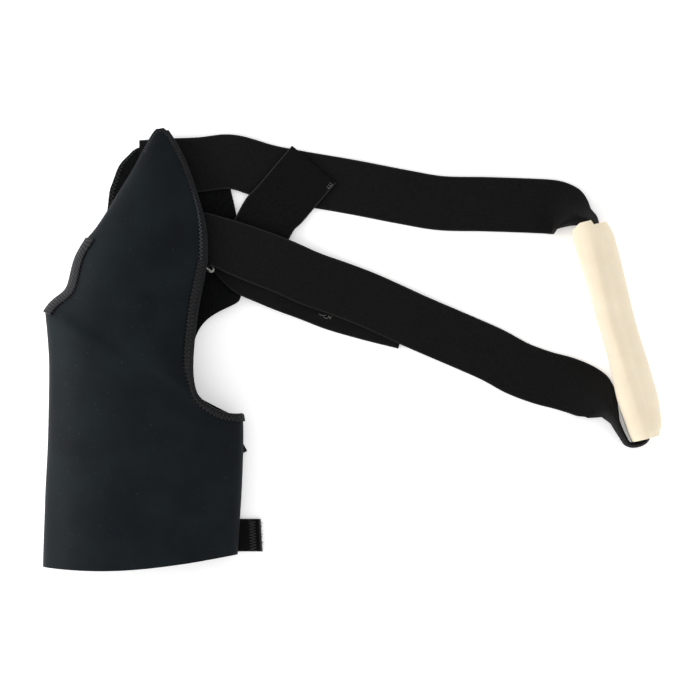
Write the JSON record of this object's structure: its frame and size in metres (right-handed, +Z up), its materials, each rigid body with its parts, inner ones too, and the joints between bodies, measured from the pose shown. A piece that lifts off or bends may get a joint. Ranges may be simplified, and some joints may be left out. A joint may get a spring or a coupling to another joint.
{
  "type": "shoulder brace",
  "caption": "Neoprene shoulder brace lying flat, with an arm cuff, a shoulder cap and an elastic chest strap through a foam armpit pad.",
  "frame": {"origin": "centre of the brace's footprint on the surface it lies on", "axes": "+X from the arm cuff towards the armpit pad, +Y from the cuff's hem towards the top of the shoulder cap, +Z up from the surface"},
  "size_m": [0.5668, 0.404, 0.0481],
  "materials": {
    "neoprene": "matte",
    "binding": "matte",
    "elastic": "matte",
    "loop_cloth": "matte",
    "hook_tape": "matte",
    "foam": "matte",
    "steel": "satin"
  },
  "bodies": {
    "root": {"sleeve_shell": "neoprene", "axilla_binding_left": "binding", "axilla_binding_right": "binding", "front_edge_band": "binding", "back_wing": "loop_cloth", "chest_strap": "elastic", "strap_ring": "steel", "ring_tape": "binding", "hook_tab": "hook_tape", "axilla_pad": "foam", "cuff_tab": "hook_tape", "hook_patch": "hook_tape"}
  },
  "joints": []
}
